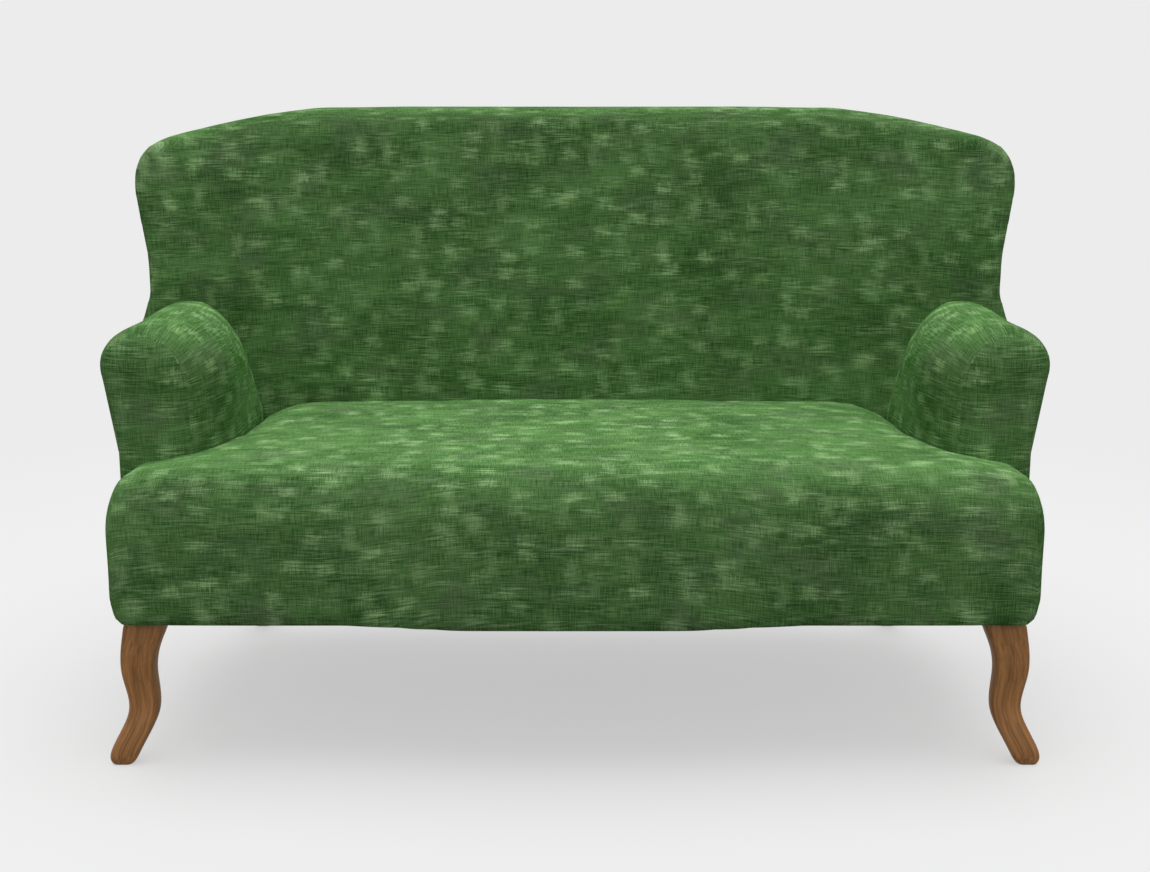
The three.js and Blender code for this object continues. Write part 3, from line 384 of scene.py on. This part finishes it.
def moveTo(mesh, points):
    mesh.vertices.foreach_set("co", np.ascontiguousarray(points, dtype=np.float32).ravel())
    mesh.update()


def stored(mesh, name, domain, data):
    layer = mesh.attributes.new(name, "FLOAT_VECTOR", domain)
    layer.data.foreach_set("vector", np.ascontiguousarray(data, dtype=np.float32).ravel())


# Thickens the thin cover inwards near the floor, where nothing backs it, so that the remesh
# keeps it: the points beyond a distance from the middle and under a height
def thickened(piece, beyond, under, reach):
    lean = -0.2  # how clearly a face has to look towards the middle of its end
    p, n = places(piece.data), normals(piece.data)
    for hand in (-1, 1):
        low = (hand * p[:, 0] > beyond) & (p[:, 2] < under)
        if not low.any():
            continue
        out = p[low][:, :2] - (p[low].min(axis=0) + p[low].max(axis=0))[:2] / 2
        inner = (out * n[low][:, :2]).sum(axis=1) < lean * np.linalg.norm(out, axis=1)
        moved = p[low]
        moved[inner] += n[low][inner] * reach
        p[low] = moved
    moveTo(piece.data, p)


def remeshed(piece, size, rounds):
    remesh = piece.modifiers.new("remesh", "REMESH")
    remesh.mode = "VOXEL"
    remesh.voxel_size = size
    smooth = piece.modifiers.new("smooth", "SMOOTH")
    smooth.factor = 0.5
    smooth.iterations = rounds
    applied(piece)


# Fabric drawn tight over its padding: a simulated cloth swells a little and no further than a
# cap, and its moves are evened out over neighbouring points
def drawnTight(piece, cap):
    values = {"steps": 20, "pressure": 3.0, "stiffness": 20, "evening": 12}
    start = places(piece.data)
    cloth = piece.modifiers.new("cloth", "CLOTH")
    cloth.settings.use_pressure = True
    cloth.settings.uniform_pressure_force = values["pressure"]
    cloth.settings.tension_stiffness = values["stiffness"]
    cloth.settings.compression_stiffness = values["stiffness"]
    cloth.settings.effector_weights.gravity = 0
    cloth.settings.quality = 4
    cloth.collision_settings.use_collision = False
    for step in range(values["steps"]):
        scene.frame_set(step + 1)
    applied(piece)
    scene.frame_set(1)
    move = places(piece.data) - start
    length = np.linalg.norm(move, axis=1, keepdims=True)
    move *= np.minimum(1, cap / np.maximum(length, 1e-6))
    edges = np.empty(len(piece.data.edges) * 2, dtype=np.int32)
    piece.data.edges.foreach_get("vertices", edges)
    first, second = edges.reshape(-1, 2).T
    count = np.maximum(np.bincount(edges, minlength=len(move)), 1)[:, None]
    for turn in range(values["evening"]):
        total = np.zeros_like(move)
        np.add.at(total, first, move[second])
        np.add.at(total, second, move[first])
        move = (move + total / count) / 2
    moveTo(piece.data, start + move)


# A pad from its solids. The swell makes up for what the remesh takes off, and for the nap.
def upholstered(pad, values):
    remeshed(pad, values["voxel"], values["rounds"])
    drawnTight(pad, values["cap"])
    moveTo(pad.data, places(pad.data) + normals(pad.data) * values["swell"])


def smoothStep(values, low, high):
    share = np.clip((values - low) / (high - low), 0, 1)
    return share * share * (3 - 2 * share)


# Which corners of the mesh belong to faces that look forwards
def facing(mesh, limit):
    counts = np.empty(len(mesh.polygons), dtype=np.int32)
    mesh.polygons.foreach_get("loop_total", counts)
    return np.repeat(vectors(mesh.polygons, "normal")[:, 1] < limit, counts)


# Where each corner of the mesh lies on the cloth; a second lay may serve some of the faces
def weave(piece, across, up, second=None, chosen=None):
    mesh = piece.data
    corners = np.empty(len(mesh.loops), dtype=np.int32)
    mesh.loops.foreach_get("vertex_index", corners)
    data = np.zeros((len(corners), 3), dtype=np.float32)
    data[:, 0], data[:, 1] = across[corners], up[corners]
    if second is not None:
        data[chosen, 0] = second[0][corners][chosen]
        data[chosen, 1] = second[1][corners][chosen]
    stored(mesh, "weave", "CORNER", data)


def finished(piece, material, slot, *replaced):
    mesh = piece.data
    mesh.materials.clear()
    mesh.materials.append(material)
    mesh.shade_smooth()
    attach(piece, "root")
    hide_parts(*replaced)


# Seat: one tight pad with a rounded front edge and a bowed front. Its cloth runs on over the
# top, and at the ends it runs from front to back.
def makeSeat():
    values = {"voxel": 0.009, "rounds": 5, "cap": 0.004, "swell": 0.0025, "hem": 0.001,
              "hemHeights": (0.232, 0.26), "endTurn": (0.6, 0.9)}
    seat = copyOf("seatPad", "seat_cover", "seat_foam", "front_rail", "side_rail_left",
                  "side_rail_right")
    upholstered(seat, values)
    p = places(seat.data)
    p[:, 2] -= values["hem"] * (1 - smoothStep(p[:, 2], *values["hemHeights"]))
    moveTo(seat.data, p)
    side = smoothStep(np.abs(normals(seat.data)[:, 0]), *values["endTurn"])
    back = p[:, 1] - seatFront
    across = p[:, 0] + np.sign(p[:, 0]) * back * side
    weave(seat, across, p[:, 2] + back * (1 - side))
    finished(seat, velvet, "upholstery_fabric", "seat_cover", "seat_foam")


# Inside back: a shallow crown between two wings, turned over the crest and the outer edges
def makeBack():
    values = {"voxel": 0.009, "rounds": 5, "cap": 0.004, "swell": 0.003,
              "skinBeyond": 0.6, "skinUnder": 0.37, "skin": 0.016,
              "crestTurn": (0.5, 0.9), "face": 0.6, "wings": 0.585, "wingStretch": 0.45}
    back = copyOf("backPad", "inside_back_cover", "back_foam", "top_rail", "back_post_left",
                  "back_post_right")
    thickened(back, values["skinBeyond"], values["skinUnder"], values["skin"])
    upholstered(back, values)
    p = places(back.data)
    over = smoothStep(normals(back.data)[:, 2], *values["crestTurn"])
    forward = np.maximum(seatFront + values["wings"] - p[:, 1], 0)
    across = p[:, 0] + np.sign(p[:, 0]) * values["wingStretch"] * forward * (1 - over)
    weave(back, across, p[:, 2] + (p[:, 1] - seatFront - values["face"]) * over)
    finished(back, velvet, "upholstery_fabric", "inside_back_cover", "back_foam")


# Arms: rolled pads that flare outwards and run into the back. The cloth goes over the roll,
# whose middle line is given by its distance from the middle of the settee and its height.
def makeArm(side):
    values = {"voxel": 0.008, "rounds": 4, "cap": 0.003, "swell": 0.0022,
              "skinBeyond": 0.6, "skinUnder": 0.37, "skin": 0.009,
              "rollX": 0.68, "rollZ": 0.56, "roll": 0.095, "noseTurn": -0.6}
    cover, padding = "arm_cover_" + side, "arm_foam_" + side
    arm = copyOf("armPad" + side.title(), cover, padding, "arm_post_" + side, "arm_rail_" + side)
    thickened(arm, values["skinBeyond"], values["skinUnder"], values["skin"])
    upholstered(arm, values)
    p = places(arm.data)
    outwards = (1 if side == "right" else -1) * p[:, 0] - values["rollX"]
    up = p[:, 2] - values["rollZ"]
    turned = np.arctan2(np.maximum(up, 0), -outwards) * values["roll"]
    outerFace = math.pi * values["roll"] - np.minimum(up, 0)
    wrap = np.where(up < 0, np.where(outwards < 0, up, outerFace), turned)
    weave(arm, p[:, 1], wrap, (-outwards, up), facing(arm.data, values["noseTurn"]))
    finished(arm, velvet, "upholstery_fabric", cover, padding)


# Outside panels, closed over the frame at the back and at each end, and the lining below: the
# cover that each is, its flat size and area in metres, and what it is stretched over
def makePanels():
    sheets = (
        ("outsideBack", "outside_back_cover", (1.45, 0.74), 1.006,
         ("back_post_left", "back_post_right", "top_rail")),
        ("outsideArmLeft", "outside_arm_cover_left", (0.336, 0.362), 0.108,
         ("side_rail_left",)),
        ("outsideArmRight", "outside_arm_cover_right", (0.336, 0.362), 0.108,
         ("side_rail_right",)),
        ("underLining", "dust_cover", (1.323, 0.701), 0.883, ("front_rail", "back_rail")),
    )
    for name, cover, flat, area, rests in sheets:
        panel = copyOf(name, cover)
        if cover == "dust_cover":
            finished(panel, lining, "dust_cloth", cover)
        else:
            p = places(panel.data)
            weave(panel, p[:, 0 if cover == "outside_back_cover" else 1], p[:, 2])
            finished(panel, velvet, "upholstery_fabric", cover)
        panel.data.set_sharp_from_angle(angle=math.radians(35))


# Rounds a leg by subdivision and keeps its sole flat
def softened(piece, levels, sole):
    bm = bmesh.new()
    bm.from_mesh(piece.data)
    bmesh.ops.join_triangles(bm, faces=bm.faces, cmp_seam=False, cmp_sharp=False, cmp_uvs=False,
                             cmp_vcols=False, cmp_materials=False, angle_face_threshold=0.7,
                             angle_shape_threshold=0.9)
    crease = bm.edges.layers.float.new("crease_edge")
    for edge in bm.edges:
        if all(v.co.z < sole for v in edge.verts):
            edge[crease] = 1
    bm.to_mesh(piece.data)
    bm.free()
    subdivision = piece.modifiers.new("subdivision", "SUBSURF")
    subdivision.levels = levels
    subdivision.render_levels = levels
    applied(piece)


# Grain that follows the bend of a leg: the distance from its middle line, and the height
def grainAlong(leg):
    values = {"rings": 24, "overlap": 0.8}
    p = places(leg.data)
    levels = np.linspace(p[:, 2].min(), p[:, 2].max(), values["rings"])
    reach = (levels[1] - levels[0]) * values["overlap"]
    rings = [p[np.abs(p[:, 2] - z) < reach] for z in levels]
    middle = [(ring.min(axis=0) + ring.max(axis=0)) / 2 for ring in rings]
    data = p.copy()
    for axis in (0, 1):
        data[:, axis] -= np.interp(p[:, 2], levels, [m[axis] for m in middle])
    stored(leg.data, "grain", "POINT", data)


# Legs: cabriole in front, raked and square behind
def makeLegs():
    values = {"levels": 2, "sole": 0.0005}
    for end in ("front", "rear"):
        for side in ("left", "right"):
            leg = copyOf(end + "Leg" + side.title(), end + "_leg_" + side)
            softened(leg, values["levels"], values["sole"])
            grainAlong(leg)
            finished(leg, brownWood, "leg_wood", end + "_leg_" + side)


makeSeat()
print("seat made")
makeBack()
print("back made")
makeArm("left")
makeArm("right")
print("arms made")
makePanels()
makeLegs()
print("panels and legs made")


def plainGrey(level):
    return (level, level, level, 1.0)


# Floor and pale surroundings: both are seen at the photograph's plain pale grey, and the
# floor keeps a share of the settee's shadow. Each lamp has its aim, spread, power and shadow.
def makeStudio():
    values = {"pale": (236, 236, 236), "floor": 0.56, "bounce": 0.14, "plain": 0.27,
              "fade": (1.1, 2.6), "half": 40, "world": 0.5}
    lamps = {"overheadSun": ((0.0, 0.0, -1.0), 60, 1.3, True),
             "rimSun": ((0.0, -0.9, -1.0), 30, 2.75, False),
             "frontFill": ((0.0, 1.0, -0.3), 60, 0.5, True)}
    pale = colour(*values["pale"])
    bm = bmesh.new()
    bmesh.ops.create_grid(bm, x_segments=1, y_segments=1, size=values["half"])
    floor = shown("floor", bm)
    m = Material("floor", Roughness=1.0, Specular_IOR_Level=0.0)
    direct = m.seen(values["plain"], pale, values["fade"])
    m.finish(Base_Color=m.mixed(direct, plainGrey(values["bounce"]), plainGrey(values["floor"])))
    floor.data.materials.append(m.data)

    world = bpy.data.worlds.new("studio")
    scene.world = world
    tree = Tree(world)
    tree.nodes.clear()
    light = tree.node("Background", {}, plainGrey(1.0), values["world"])
    wall = tree.node("Background", {}, pale, 1.0)
    tree.node("OutputWorld", {}, tree.node("MixShader", {}, tree.direct(), light, wall))

    for name, (aim, spread, power, shadow) in lamps.items():
        lamp = bpy.data.lights.new(name, "SUN")
        lamp.energy = power
        lamp.angle = math.radians(spread)
        lamp.use_shadow = shadow
        holder = bpy.data.objects.new(name, lamp)
        holder.rotation_euler = Vector(aim).to_track_quat("-Z", "Y").to_euler()
        scene.collection.objects.link(holder)


makeStudio()
print("studio made")
